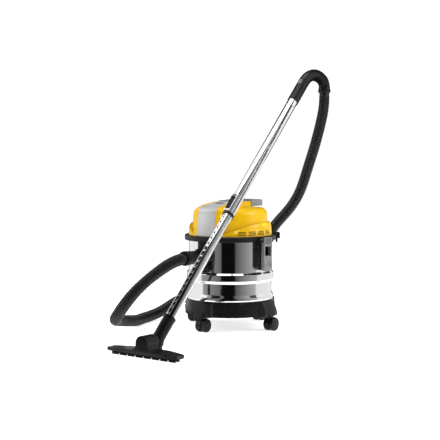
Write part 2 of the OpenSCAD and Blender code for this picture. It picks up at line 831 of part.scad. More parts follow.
// Barrel over the nozzle's middle, with a concave sweep down to the bar on each side
module nozzle_hump() {
    sweep_r = 20;
    sweep_z = nozzle_high - barrel_z + sweep_r;
    sweep_x = sqrt(pow(barrel_r + sweep_r, 2) - sweep_z * sweep_z);
    meet = (atan2(-sweep_z, -sweep_x) + 360) % 360;
    translate([0, nozzle_front + 51, barrel_z]) rotate([90, 0, 0]) union() {
        cylinder(r = barrel_r, h = 51);
        linear_extrude(51) polygon(concat(
            arc(sweep_x, sweep_z, sweep_r, meet, 270, 6),
            [[sweep_x, sweep_z - sweep_r - 5], [-sweep_x, sweep_z - sweep_r - 5]],
            arc(-sweep_x, sweep_z, sweep_r, 270, 540 - meet, 6)
        ));
    }
}

module nozzle_shell() {
    color(black) translate([150, 0, 0]) difference() {
        union() {
            translate([0, 0, nozzle_low]) linear_extrude(nozzle_high - nozzle_low) nozzle_plan(0);
            nozzle_hump();
        }
        translate([0, 0, nozzle_low - 1]) linear_extrude(nozzle_high - nozzle_low - 2) nozzle_plan(3);
        translate([0, nozzle_front + 52, barrel_z]) rotate([90, 0, 0]) cylinder(r = 18 + run, h = 28);
        translate([0, nozzle_front + 30, barrel_z]) rotate([90, 0, 0]) cylinder(r = 15, h = 22);
        translate([-12, nozzle_front + 9, 10]) cube([24, 20, barrel_z - 10]);
    }
}

module nozzle_sole() {
    color(dark_grey) translate([150, 0, 0]) difference() {
        translate([0, 0, nozzle_low - 2]) linear_extrude(3.5) nozzle_plan(3.2);
        translate([-40, nozzle_front + 12.5, 0]) cube([80, 10, 30]);
        for (y = strip_at) translate([-nozzle_w / 2 + 8, nozzle_front + y, 0]) cube([nozzle_w - 16, 5.2, 30]);
    }
}

// A strip of short tufts with gaps between them, standing on the floor
module tuft_strip(y) {
    pitch = (nozzle_w - 20) / 8;
    color(black) translate([150 - nozzle_w / 2 + 10, nozzle_front + y + 0.1, 0]) union() {
        translate([0, 0, nozzle_low - 3]) cube([nozzle_w - 20, 5, 7]);
        for (i = [0 : 7]) translate([pitch * i + 2, 0.5, 0]) cube([pitch - 4, 4, nozzle_low - 2]);
    }
}

place() drum();
place() base();
place() base_screws();
place() inlet_port();
place() inlet_gasket();
place() inlet_screws();
place() inlet_deflector();
place() latch_keeper(-1);  // latch_keeper_left
place() latch_keeper(1);  // latch_keeper_right
place() hose();
place() hose_cuff_lower();
place() collar();
place() drum_seal();
place() motor_plate();
place() head_shell();
place() front_panel();
place() carry_handle();
place() power_switch();
place() motor_can();
place() motor_bearings();
place() motor_rotor();
place() impeller();
place() fan_shroud();
place() float_cage();
place() float_ball();
place() filter();
place() exhaust_filter();
place() cable_gland();
place() cable_hook();
place() head_screws();
place() latch_lever(-1);  // latch_lever_left
place() latch_lever(1);  // latch_lever_right
place() latch_pin(-1);  // latch_pin_left
place() latch_pin(1);  // latch_pin_right
place() castor_yoke(0);  // castor_front_yoke
place() castor_wheels(0);  // castor_front_wheels
place() castor_axle(0);  // castor_front_axle
place() castor_yoke(1);  // castor_right_yoke
place() castor_wheels(1);  // castor_right_wheels
place() castor_axle(1);  // castor_right_axle
place() castor_yoke(2);  // castor_back_yoke
place() castor_wheels(2);  // castor_back_wheels
place() castor_axle(2);  // castor_back_axle
place() castor_yoke(3);  // castor_left_yoke
place() castor_wheels(3);  // castor_left_wheels
place() castor_axle(3);  // castor_left_axle
place() upper_tube();
place() catch_sleeve();
place() catch_ring();
place() catch_button();
place() grip();
place() bleed_slider();
place() hose_cuff_upper();
place() lower_tube();
place() elbow();
place() swivel_ring();
place() nozzle_shell();
place() nozzle_sole();
place() tuft_strip(strip_at[0]);  // front_bristles
place() tuft_strip(strip_at[1]);  // rear_bristles
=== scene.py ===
import json
import math
import random

import bmesh
import bpy
import numpy as np
from mathutils import Matrix, Vector


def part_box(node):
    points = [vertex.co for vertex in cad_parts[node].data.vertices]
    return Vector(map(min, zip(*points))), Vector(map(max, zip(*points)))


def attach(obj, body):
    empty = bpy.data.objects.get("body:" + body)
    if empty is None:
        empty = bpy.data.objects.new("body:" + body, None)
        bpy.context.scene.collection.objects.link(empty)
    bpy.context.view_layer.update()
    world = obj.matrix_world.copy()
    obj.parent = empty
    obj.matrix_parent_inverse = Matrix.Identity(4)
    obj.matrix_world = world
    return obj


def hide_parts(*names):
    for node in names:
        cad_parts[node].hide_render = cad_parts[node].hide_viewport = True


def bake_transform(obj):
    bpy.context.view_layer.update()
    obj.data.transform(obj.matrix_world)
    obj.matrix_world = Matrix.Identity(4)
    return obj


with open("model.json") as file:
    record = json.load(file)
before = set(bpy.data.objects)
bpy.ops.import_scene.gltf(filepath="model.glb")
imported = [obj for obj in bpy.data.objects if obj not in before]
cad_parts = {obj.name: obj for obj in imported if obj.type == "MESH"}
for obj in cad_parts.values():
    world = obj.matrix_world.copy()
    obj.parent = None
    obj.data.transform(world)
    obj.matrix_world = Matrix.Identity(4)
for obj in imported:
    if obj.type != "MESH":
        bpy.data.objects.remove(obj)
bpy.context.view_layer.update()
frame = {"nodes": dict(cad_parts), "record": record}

NODES = frame["nodes"]
DRUM_AXIS = (-0.049, 0.120)  # where the drum's axis stands in the row frame
WAND_FOOT = (150, -526, 110)  # mouth of the elbow, in mm from the drum's axis
WAND_LEAN = math.radians(45)
WAND_LEN = 1012


def at(x, y, z):
    """A point given in mm from the drum's axis and the floor, in the row frame."""
    return Vector((x / 1000 + DRUM_AXIS[0], y / 1000 + DRUM_AXIS[1], z / 1000))


def wand_matrix(s=0.0):
    """Frame at s mm up the wand: local Z runs up it and local -Y is its upper face. Its unit is a metre."""
    turn = Matrix.Rotation(-WAND_LEAN, 4, "X")
    return Matrix.Translation(at(*WAND_FOOT)) @ turn @ Matrix.Translation((0, 0, s / 1000))


# ---- Camera ----

CAMERA_PLACE = (2.2914, -3.0622, 0.64)
CAMERA_ACROSS = (0.8, 0.6)  # the picture's right, so the camera looks along (-0.6, 0.8)
CAMERA_PITCH = math.radians(3.66)  # downward

cam_data = bpy.data.cameras.new("camera")
cam_data.lens, cam_data.sensor_width = 89.5, 36
cam_data.clip_start, cam_data.clip_end = 0.05, 60
camera = bpy.data.objects.new("camera", cam_data)
bpy.context.scene.collection.objects.link(camera)
camera.location = CAMERA_PLACE
level = math.cos(CAMERA_PITCH)
look = Vector((-CAMERA_ACROSS[1] * level, CAMERA_ACROSS[0] * level, -math.sin(CAMERA_PITCH)))
camera.rotation_euler = look.to_track_quat("-Z", "Y").to_euler()
bpy.context.scene.camera = camera


# ---- Mesh helpers ----


def new_object(name, verts, faces, body=None, sharp=35):
    """A smooth-shaded object, sharp at edges over sharp degrees, that rides on a body if one is named."""
    mesh = bpy.data.meshes.new(name)
    mesh.from_pydata([tuple(v) for v in verts], [], faces)
    mesh.validate()
    mesh.polygons.foreach_set("use_smooth", [True] * len(mesh.polygons))
    mesh.set_sharp_from_angle(angle=math.radians(sharp))
    obj = bpy.data.objects.new(name, mesh)
    bpy.context.scene.collection.objects.link(obj)
    if body:
        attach(obj, body)
    return obj


def arc(cx, cy, r, a0, a1, n):
    """n + 1 points on a circle from a0 to a1 degrees."""
    turns = [math.radians(a0 + (a1 - a0) * i / n) for i in range(n + 1)]
    return [(cx + r * math.cos(a), cy + r * math.sin(a)) for a in turns]


def fillet(points, radius, steps=4):
    """The closed outline with every corner rounded, by radius or by a radius of its own."""
    out, n = [], len(points)
    for i, p in enumerate(points):
        r = radius[i] if isinstance(radius, (list, tuple)) else radius
        p, a, b = Vector(p[:2]), Vector(points[i - 1][:2]), Vector(points[(i + 1) % n][:2])
        u, v = (a - p), (b - p)
        lu, lv = u.length, v.length
        if r <= 0 or lu < 1e-6 or lv < 1e-6:
            out.append(tuple(p))
            continue
        u, v = u / lu, v / lv
        half = u.angle(v) / 2
        if half > math.radians(88):
            out.append(tuple(p))
            continue
        d = min(r / math.tan(half), 0.45 * lu, 0.45 * lv)
        rr = d * math.tan(half)
        centre = p + (u + v).normalized() * (rr / math.sin(half))
        s, e = p + u * d - centre, p + v * d - centre
        turn = s.angle_signed(e)
        for k in range(steps + 1):
            c = Matrix.Rotation(-turn * k / steps, 2) @ s
            out.append(tuple(centre + c))
    return out


def ring_mesh(rings, closed_profile=True, caps=False):
    """Joins rings of points, each closed round, into a mesh."""
    n, m = len(rings[0]), len(rings)
    verts = [p for ring in rings for p in ring]
    faces = []
    for i in range(m if closed_profile else m - 1):
        j = (i + 1) % m
        faces += [(i * n + k, i * n + (k + 1) % n, j * n + (k + 1) % n, j * n + k) for k in range(n)]
    if caps:
        faces += [tuple(range(n - 1, -1, -1)), tuple((m - 1) * n + k for k in range(n))]
    return verts, faces


def clean(obj, reach=1e-6):
    """Merges doubled points, drops empty faces and turns the faces outward."""
    bm = bmesh.new()
    bm.from_mesh(obj.data)
    bmesh.ops.remove_doubles(bm, verts=bm.verts, dist=reach)
    bmesh.ops.dissolve_degenerate(bm, dist=reach, edges=bm.edges)
    bmesh.ops.recalc_face_normals(bm, faces=bm.faces)
    bm.to_mesh(obj.data)
    bm.free()
    return obj


def circle(r, z, matrix, n):
    """n points round the matrix's Z axis, with the radius and height in mm."""
    turns = [2 * math.pi * k / n for k in range(n)]
    return [matrix @ Vector((r * math.cos(a) / 1000, r * math.sin(a) / 1000, z / 1000)) for a in turns]


def lathe(name, profile, body, matrix=None, n=96, sharp=35):
    """Revolves a closed profile of (radius, height) in mm about the matrix's Z axis."""
    matrix = matrix or Matrix.Translation(at(0, 0, 0))
    verts, faces = ring_mesh([circle(r, z, matrix, n) for r, z in profile])
    obj = clean(new_object(name, verts, faces, body, sharp))
    obj.data.set_sharp_from_angle(angle=math.radians(sharp))
    return obj


def cut(obj, *tools):
    """Subtracts closed meshes from obj and applies the result."""
    for tool in tools:
        m = obj.modifiers.new("cut", "BOOLEAN")
        m.operation, m.object, m.solver = "DIFFERENCE", tool, "EXACT"
    bpy.context.view_layer.update()
    made = bpy.data.meshes.new_from_object(obj.evaluated_get(bpy.context.evaluated_depsgraph_get()))
    obj.modifiers.clear()
    obj.data = made
    for tool in tools:
        bpy.data.objects.remove(tool)
    return obj


def post(r, z0, z1, matrix, n=48):
    """A plain closed cylinder, used only as a cutting tool."""
    rings = [circle(r, z, matrix, n) for z in (z0, z1)]
    return clean(new_object("tool", *ring_mesh(rings, False, True)))


def spline(points, step):
    """Points step apart along the natural cubic spline through the given ones."""
    p = np.array(points, float)
    t = np.r_[0, np.cumsum(np.sqrt(np.linalg.norm(np.diff(p, axis=0), axis=1)))]
    h, n = np.diff(t), len(p)
    a = np.zeros((n, n))
    rhs = np.zeros((n, 3))
    a[0, 0] = a[-1, -1] = 1
    for i in range(1, n - 1):
        a[i, i - 1 : i + 2] = h[i - 1], 2 * (h[i - 1] + h[i]), h[i]
        rhs[i] = 6 * ((p[i + 1] - p[i]) / h[i] - (p[i] - p[i - 1]) / h[i - 1])
    m = np.linalg.solve(a, rhs)
    u = np.linspace(0, t[-1], 6000)
    i = np.clip(np.searchsorted(t, u, "right") - 1, 0, n - 2)
    w, x = h[i][:, None], (u - t[i])[:, None]
    y = w - x
    line = (
        (m[i] * y**3 + m[i + 1] * x**3) / (6 * w)
        + (p[i] / w - m[i] * w / 6) * y
        + (p[i + 1] / w - m[i + 1] * w / 6) * x
    )
    along = np.r_[0, np.cumsum(np.linalg.norm(np.diff(line, axis=0), axis=1))]
    s = np.linspace(0, along[-1], int(round(along[-1] / step)) + 1)
    return np.stack([np.interp(s, along, line[:, k]) for k in range(3)], axis=1), s


def frames_along(line, first=(0, 0, 1)):
    """A side and an up direction at each point of a line, carried along it without twist."""
    d = np.gradient(line, axis=0)
    d /= np.linalg.norm(d, axis=1)[:, None]
    side = np.array(first, float)
    sides = []
    for t in d:
        side = side - side @ t * t
        side /= np.linalg.norm(side)
        sides.append(side)
    sides = np.array(sides)
    return d, sides, np.cross(d, sides)


# ---- Hose ----

HOSE_ROUTE = [
    (0, -270, 268), (0, -332, 259), (-16, -399, 227), (-54, -444, 178), (-107, -454, 120),
    (-169, -426, 70), (-225, -358, 45), (-253, -252, 28), (-281, -176, 20), (-303, -89, 22),
    (-307, -9, 35), (-284, 70, 70), (-229, 141, 96), (-169, 195, 144), (-101, 231, 202),
    (-36, 254, 266), (9, 263, 343), (64, 283, 412), (104, 303, 485), (124, 321, 564),
    (138, 345, 644), (147, 371, 725), (150, 395, 804), (150, 399, 862),
]
HOSE_R = 0.0206  # over the ribs, whose middle height is the CAD hose's surface
HOSE_VALLEY = 0.0033  # depth of the corrugation
HOSE_PITCH = 0.0076  # distance between ribs
HOSE_END_R = 0.0187  # of the smooth ends in the cuffs


def make_hose():
    """The hose as one corrugated tube, closed at both ends inside its cuffs."""
    line, s = spline([at(*p) for p in HOSE_ROUTE], HOSE_PITCH / 8)
    line[:, 2] = np.maximum(line[:, 2], HOSE_R + 0.0002)  # it lies on the floor
    _, side, up = frames_along(line)
    n = 36
    theta = 2 * np.pi * np.arange(n) / n
    phase = s[:, None] / HOSE_PITCH + theta[None, :] / (2 * np.pi)
    rib = (0.5 + 0.5 * np.cos(2 * np.pi * phase)) ** 0.55
    ends = np.clip((np.minimum(s, s[-1] - s) - 0.013) / 0.008, 0, 1)[:, None]
    r = HOSE_END_R + (HOSE_R - HOSE_VALLEY * (1 - rib) - HOSE_END_R) * ends
    rings = line[:, None, :] + r[..., None] * (
        np.cos(theta)[None, :, None] * side[:, None, :] + np.sin(theta)[None, :, None] * up[:, None, :]
    )
    rings = [list(map(tuple, ring)) for ring in rings]
    hose = clean(new_object("hose_corrugated", *ring_mesh(rings, False, True), sharp=80))
    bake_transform(hose)
    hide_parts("hose")
    return hose


hose = make_hose()


# ---- Materials ----


class Shader:
    """A Principled material with the few nodes that every finish here shares."""

    def __init__(self, name, color, rough, metal=0.0, spec=0.5):
        self.mat = bpy.data.materials.new(name)
        self.mat.use_nodes = True
        self.nodes, self.links = self.mat.node_tree.nodes, self.mat.node_tree.links
        self.bsdf = self.nodes["Principled BSDF"]
        self.color = tuple(color) + (1,)
        self.bsdf.inputs["Base Color"].default_value = self.color
        self.bsdf.inputs["Roughness"].default_value = rough
        self.bsdf.inputs["Metallic"].default_value = metal
        self.bsdf.inputs["Specular IOR Level"].default_value = spec
        self.rough, self.height, self.where = rough, None, None
        self.mat.diffuse_color = self.color

    def add(self, kind, **inputs):
        node = self.nodes.new(kind)
        for key, value in inputs.items():
            node.inputs[key.replace("_", " ")].default_value = value
        return node

    def coords(self, stretch=(1, 1, 1)):
        """Coordinates in metres that stay on the piece."""
        if self.where is None:
            self.where = self.nodes.new("ShaderNodeTexCoord")
        mapping = self.add("ShaderNodeMapping", Scale=stretch)
        self.links.new(self.where.outputs["Object"], mapping.inputs["Vector"])
        return mapping.outputs["Vector"]

    def noise(self, scale, detail=3.0, stretch=(1, 1, 1), distortion=0.0):
        node = self.add("ShaderNodeTexNoise", Scale=scale, Detail=detail, Distortion=distortion)
        self.links.new(self.coords(stretch), node.inputs["Vector"])
        return node.outputs["Fac"]

    def ranged(self, value, from_low, from_high, low, high):
        node = self.nodes.new("ShaderNodeMapRange")
        for i, v in zip((1, 2, 3, 4), (from_low, from_high, low, high)):
            node.inputs[i].default_value = v
        self.links.new(value, node.inputs[0])
        return node.outputs[0]

    def tint(self, factor, color):
        """Blends towards another colour by factor."""
        mix = self.nodes.new("ShaderNodeMix")
        mix.data_type = "RGBA"
        socket = self.bsdf.inputs["Base Color"]
        if socket.is_linked:
            self.links.new(socket.links[0].from_socket, mix.inputs[6])
        else:
            mix.inputs[6].default_value = self.color
        mix.inputs[7].default_value = tuple(color) + (1,)
        self.links.new(factor, mix.inputs[0])
        self.links.new(mix.outputs[2], socket)
        return self

    def vary_rough(self, value, low, high):
        self.links.new(self.ranged(value, 0.3, 0.7, low, high), self.bsdf.inputs["Roughness"])
        return self

    def bump(self, value, depth, strength=1.0):
        """Adds a height, depth metres from its lowest to its highest, to the surface."""
        node = self.add("ShaderNodeBump", Strength=strength, Distance=depth)
        self.links.new(value, node.inputs["Height"])
        if self.height is not None:
            self.links.new(self.height, node.inputs["Normal"])
        self.height = node.outputs["Normal"]
        self.links.new(self.height, self.bsdf.inputs["Normal"])
        return self

    def edge_wear_and_highlight(self, color, amount=0.5):
        """Lighter convex edges, partly rubbed wear and partly painted highlight, broken up by noise."""
        geometry = self.nodes.new("ShaderNodeNewGeometry")
        edge = self.ranged(geometry.outputs["Pointiness"], 0.52, 0.60, 0, amount)
        patchiness = self.ranged(self.noise(160, 4), 0.35, 0.65, 0, 1)
        both = self.nodes.new("ShaderNodeMath")
        both.operation = "MULTIPLY"
        self.links.new(edge, both.inputs[0])
        self.links.new(patchiness, both.inputs[1])
        return self.tint(both.outputs[0], color)


def shade(c, f):
    """The colour, f times as bright."""
    return tuple(min(1.0, v * f) for v in c)


def plastic(name, color, rough, grain=0.00004, grain_scale=1600, spec=0.5, wear_and_highlight=None, crest_highlight=None):
    """Moulded plastic: fine spark-eroded grain, faint flow marks, scuffs, convex edges lightened as rubbed
    wear and painted highlight, and painted highlight on crests.
    """
    s = Shader(name, color, rough, spec=spec)
    if crest_highlight:
        # painted highlight: convex crests, such as the hose's ribs, tinted lighter
        geometry = s.nodes.new("ShaderNodeNewGeometry")
        s.tint(s.ranged(geometry.outputs["Pointiness"], 0.50, 0.56, 0, 1), crest_highlight)
    s.tint(s.ranged(s.noise(9, 4), 0.35, 0.7, 0, 0.35), shade(color, 0.86))
    s.tint(s.ranged(s.noise(420, 2), 0.45, 0.75, 0, 0.25), shade(color, 1.25))
    scuffs = s.noise(60, 6, stretch=(1, 1, 7), distortion=0.6)
    s.tint(s.ranged(scuffs, 0.66, 0.74, 0, 0.12), shade(color, 1.8 if max(color) < 0.3 else 0.7))
    s.vary_rough(s.noise(28, 5), rough - 0.05, rough + 0.08)
    s.bump(s.noise(grain_scale, 2), grain, 0.6)
    s.bump(s.noise(55, 2), 0.00012, 0.25)
    # convex edges lightened, partly as rubbed wear and partly as painted highlight
    if wear_and_highlight:
        s.edge_wear_and_highlight(wear_and_highlight)
    return s.mat


def metal(name, color, rough, streak=(1, 1, 1), dent=0.00001, spread=0.03, hollow_shade=0.0):
    """Polished metal: fine polishing lines, smudges, a faint waviness and, if asked, painted shade in its
    hollows.
    """
    s = Shader(name, color, rough, metal=1.0)
    if hollow_shade:
        # painted shade: concave places darkened
        geometry = s.nodes.new("ShaderNodeNewGeometry")
        s.tint(s.ranged(geometry.outputs["Pointiness"], 0.498, 0.48, 0, hollow_shade), shade(color, 0.12))
    s.tint(s.ranged(s.noise(14, 3), 0.4, 0.7, 0, 0.3), shade(color, 0.93))
    smudges = s.noise(22, 6, distortion=0.8)
    s.vary_rough(smudges, max(0.01, rough - spread / 2), rough + spread)
    s.bump(s.noise(700, 3, stretch=streak), 0.0000015, 0.6)
    s.bump(s.noise(16, 1), dent, 0.5)
    return s.mat


MATERIALS = {
    "polished_steel": metal("polished_steel", (0.80, 0.805, 0.81), 0.045, streak=(1, 1, 0.06), dent=0.00004),
    # chrome_tube gets painted shade in its pressed dents
    "chrome_tube": metal("chrome_tube", (0.86, 0.865, 0.87), 0.05, streak=(1, 0.05, 0.05), hollow_shade=0.9),
    "zinc_steel": metal("zinc_steel", (0.34, 0.345, 0.35), 0.42, spread=0.12),
    "copper_winding": metal("copper_winding", (0.72, 0.36, 0.17), 0.35, spread=0.1),
    "black_steel": metal("black_steel", (0.045, 0.045, 0.048), 0.35, spread=0.1),
    # each wear colour lightens the convex edges, partly as rubbed wear and partly as painted highlight
    "yellow_plastic": plastic(
        "yellow_plastic", (0.52, 0.305, 0.0), 0.30, 0.00002, spec=0.16, wear_and_highlight=(1.0, 0.76, 0.16)
    ),
    "black_plastic": plastic(
        "black_plastic", (0.0026, 0.0026, 0.0028), 0.27, spec=0.17, wear_and_highlight=(0.06, 0.06, 0.063)
    ),
    "dark_plastic": plastic(
        "dark_plastic", (0.0075, 0.0075, 0.0080), 0.40, spec=0.16, wear_and_highlight=(0.09, 0.09, 0.094)
    ),
    "mid_grey_plastic": plastic(
        "mid_grey_plastic", (0.125, 0.125, 0.127), 0.40, spec=0.35, wear_and_highlight=(0.30, 0.30, 0.31)
    ),
    "light_grey_plastic": plastic(
        "light_grey_plastic", (0.31, 0.31, 0.31), 0.38, 0.00002, wear_and_highlight=(0.70, 0.70, 0.70)
    ),
    # hose_plastic's crest colour is a painted highlight on the rib crests
    "hose_plastic": plastic(
        "hose_plastic", (0.0012, 0.0012, 0.0013), 0.30, 0.00003, spec=0.3, crest_highlight=(0.016, 0.016, 0.017)
    ),
    "seal_rubber": plastic("seal_rubber", (0.020, 0.020, 0.020), 0.65, 0.00006, 900),
    "wheel_plastic": plastic(
        "wheel_plastic", (0.0045, 0.0045, 0.0050), 0.38, spec=0.16, wear_and_highlight=(0.09, 0.09, 0.09)
    ),
    "filter_paper": plastic("filter_paper", (0.72, 0.68, 0.56), 0.85, 0.00010, 1100, spec=0.2),
    "bristle": plastic("bristle", (0.004, 0.004, 0.004), 0.5, spec=0.2),
}
SLOTS = {p["node"]: p["material_slot"] for p in frame["record"]["subparts"]}


def finish_piece(obj, slot):
    """Gives a piece the one material of its slot."""
    obj.data.materials.clear()
    obj.data.materials.append(MATERIALS[slot])
    return obj


finish_piece(hose, "hose_plastic")


# ---- Drum ----


def make_drum():
    """The steel drum: its flare at the foot, its bead, its rolled rim and the hole for the inlet."""
    outer = [
        (0, 103), (157, 103), (157, 121), (150, 131), (150, 172), (157, 179), (157, 202), (150, 209),
        (150, 322.8),
    ]
    inner = [
        (148.8, 209.5), (155.8, 201.5), (155.8, 179.5), (148.8, 172.5), (148.8, 130.6), (155.8, 120.5),
        (155.8, 104.2), (0, 104.2),
    ]
    rim = arc(150, 325.4, 2.6, -90, 117, 14)[1:]
    radii = [0, 3, 4, 5, 5, 4, 4, 5, 0] + [0] * len(rim) + [5, 4, 4, 5, 5, 4, 3, 0]
    profile = fillet(outer + rim + inner, radii, 5)
    drum = lathe("drum_polished", profile, "tank", n=224, sharp=60)
    front = Matrix.Translation(at(0, 0, 268)) @ Matrix.Rotation(math.radians(90), 4, "X")
    cut(drum, post(26, 120, 180, front))
    drum.data.polygons.foreach_set("use_smooth", [True] * len(drum.data.polygons))
    drum.data.set_sharp_from_angle(angle=math.radians(60))
    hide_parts("drum")
    finish_piece(drum, "polished_steel")


make_drum()


# ---- Wand, grip and elbow ----


def make_upper_tube():
    """The plain tube, with one raised ring below the grip."""
    outline = [
        (17.05, 436), (18.3, 436), (18.3, 965), (18.8, 966.5), (18.8, 969.5), (18.3, 971), (18.3, 1072),
        (17.05, 1072),
    ]
    profile = fillet(outline, 0.5)
    tube = lathe("upper_tube_chrome", profile, "wand", wand_matrix(), 96)
    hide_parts("upper_tube")
    finish_piece(tube, "chrome_tube")
    tube.visible_glossy = False  # the wand leaves no streak on the drum


LOWER_TUBE_R, LOWER_TUBE_WALL = 17, 1.3
FLAT_FROM_AXIS = 15.9  # leaves a flat track 12 mm wide
FIRST_DENT, DENT_PITCH, DENT_DEPTH = 33, 24, 1.2


def make_lower_tube():
    """The notched tube: a flat track along its upper face with a row of pressed dents in it."""
    m, n = wand_matrix(), 112
    s = np.r_[-60, np.arange(0, 436, 1.25), 491]
    phi = 2 * np.pi * np.arange(n) / n - np.pi  # angle from the upper face
    across = phi * LOWER_TUBE_R

    def smooth(x):
        x = np.clip(x, 0, 1)
        return x * x * (3 - 2 * x)

    flat = np.maximum(0, LOWER_TUBE_R - FLAT_FROM_AXIS / np.cos(np.clip(phi, -1, 1)))
    track = flat[None, :] * smooth((s - 10) / 2)[:, None] * smooth((430 - s) / 2)[:, None]
    nearest = np.abs((s - FIRST_DENT + DENT_PITCH / 2) % DENT_PITCH - DENT_PITCH / 2)
    inside = (s > 20) & (s < 424)
    hollow = 0.5 + 0.5 * np.cos(np.pi * np.clip(nearest / 7.6, 0, 1))
    dent = (hollow * inside)[:, None] * smooth((4.4 - np.abs(across)) / 2.6)[None, :]
    drop = track + DENT_DEPTH * dent
    rings = []
    for wall in (0, LOWER_TUBE_WALL):
        layer = []
        for i in range(len(s)):
            r = LOWER_TUBE_R - drop[i] - wall
            layer.append([
                m @ Vector((-r[k] * math.sin(phi[k]) / 1000, -r[k] * math.cos(phi[k]) / 1000, s[i] / 1000))
                for k in range(n)
            ])
        rings += layer if wall == 0 else layer[::-1]
    tube = clean(new_object("lower_tube_notched", *ring_mesh(rings), "wand_lower", 12))
    tube.data.set_sharp_from_angle(angle=math.radians(14))
    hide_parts("lower_tube")
    finish_piece(tube, "chrome_tube")
    tube.visible_glossy = False


def bent_path(parts, start, heading, step=2.0):
    """Points and headings along straights and arcs in the local YZ plane: (length, 0) or (radius, degrees).
    A positive turn leads from +Z towards +Y."""
    y, z = start
    out = [(y, z, heading)]
    for size, turn in parts:
        length = abs(size * math.radians(turn)) if turn else size
        count = max(1, int(round(length / step)))
        for _ in range(count):
            d = length / count
            bend = math.radians(turn) / count if turn else 0
            mid = heading + bend / 2
            chord = d if not bend else 2 * size * math.sin(abs(bend) / 2)
            y, z, heading = y + chord * math.sin(mid), z + chord * math.cos(mid), heading + bend
            out.append((y, z, heading))
    return out


def swept(name, path, outer, inner, body, matrix, n=72, sharp=40):
    """A hollow piece along a path. outer and inner give radii in mm at a distance along it."""
    along = [0]
    for a, b in zip(path, path[1:]):
        along.append(along[-1] + math.hypot(b[0] - a[0], b[1] - a[1]))
    rings = []
    for wall, radius in enumerate((outer, inner)):
        layer = []
        for (y, z, heading), u in zip(path, along):
            r = radius(u)
            up = (math.cos(heading), -math.sin(heading))
            layer.append([
                matrix @ (Vector((
                    r * math.cos(2 * math.pi * k / n),
                    y + r * math.sin(2 * math.pi * k / n) * up[0],
                    z + r * math.sin(2 * math.pi * k / n) * up[1],
                )) / 1000)
                for k in range(n)
            ])
        rings += layer if wall == 0 else layer[::-1]
    obj = clean(new_object(name, *ring_mesh(rings), body, sharp))
    obj.data.set_sharp_from_angle(angle=math.radians(sharp))
    return obj


def box_tool(lo, hi, matrix):
    """A plain closed block between two corners in mm, used only as a cutting tool."""
    plan = [(lo[0], lo[1]), (hi[0], lo[1]), (hi[0], hi[1]), (lo[0], hi[1])]
    verts = [matrix @ (Vector((x, y, z)) / 1000) for z in (lo[2], hi[2]) for x, y in plan]
    sides = [(k, (k + 1) % 4, (k + 1) % 4 + 4, k + 4) for k in range(4)]
    return clean(new_object("tool", verts, [(3, 2, 1, 0), (4, 5, 6, 7)] + sides))


def ridge(u, place, height, half):
    """Height at u of a rounded ridge round a pipe."""
    return height * max(0.0, 1 - ((u - place) / half) ** 2) ** 0.5 if abs(u - place) < half else 0.0


def path_length(parts):
    """Length in mm of the same straights and arcs."""
    return sum(size * math.radians(turn) if turn else size for size, turn in parts)


def make_grip():
    """The curved grip, with the slot of the bleed slider and the hose's mouth at its end."""
    parts = [(104, 0), (107.5, 75), (35, 60), (12.6, 0)]
    path = bent_path(parts, (0, -16), 0, 1.0)
    total = path_length(parts)

    def outer(u):
        lip = -0.9 * max(0, 1 - u / 1.2) ** 2
        swell = 1.6 * math.exp(-(((u - 205) / 55) ** 2))  # fuller where the hand holds it
        flare = 4.5 * max(0, (u - (total - 16)) / 16) ** 1.3
        seams = ridge(u, 104, 0.7, 1.4) + ridge(u, total - 15, 0.9, 1.6)
        end = -0.8 * max(0, 1 - (total - u) / 1.0) ** 2
        return 20.5 + lip + swell + flare + seams + end

    def inner(u):
        return 18.35 if u < 76 else 21.05 if u > total - 10 else 16

    grip = swept("grip_moulded", path, outer, inner, "wand", wand_matrix(WAND_LEN), sharp=30)
    cut(grip, box_tool((-6.6, -22.5, 62), (6.6, -18.3, 87), wand_matrix(WAND_LEN)))
    grip.data.polygons.foreach_set("use_smooth", [True] * len(grip.data.polygons))
    grip.data.set_sharp_from_angle(angle=math.radians(30))
    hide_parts("grip")
    finish_piece(grip, "black_plastic")


def make_elbow():
    """The nozzle's elbow, with four grip rings on its bend."""
    path = bent_path([(74, 0), (40, -45), (30, 0)], (0, 0), math.pi, 1.0)
    bend_end = 74 + 40 * math.radians(45)

    def outer(u):
        if u > bend_end:
            return 17.35
        lip = 1.0 * (0 < u < 8) - 0.9 * max(0, 1 - u / 1.0) ** 2
        rings = sum(ridge(u, bend_end - 4 - 6 * k, 0.7, 1.3) for k in range(4))
        return 20.5 + lip + rings - 0.8 * max(0, 1 - (bend_end - u) / 1.0) ** 2

    def inner(u):
        return 17.05 if u < 60 else 15.3

    elbow = swept("elbow_moulded", path, outer, inner, "wand_lower", wand_matrix(), sharp=30)
    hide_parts("elbow")
    finish_piece(elbow, "black_plastic")


make_upper_tube()
make_lower_tube()
make_grip()
make_elbow()


# ---- Bristles ----


TUFT_GAP = 0.0068


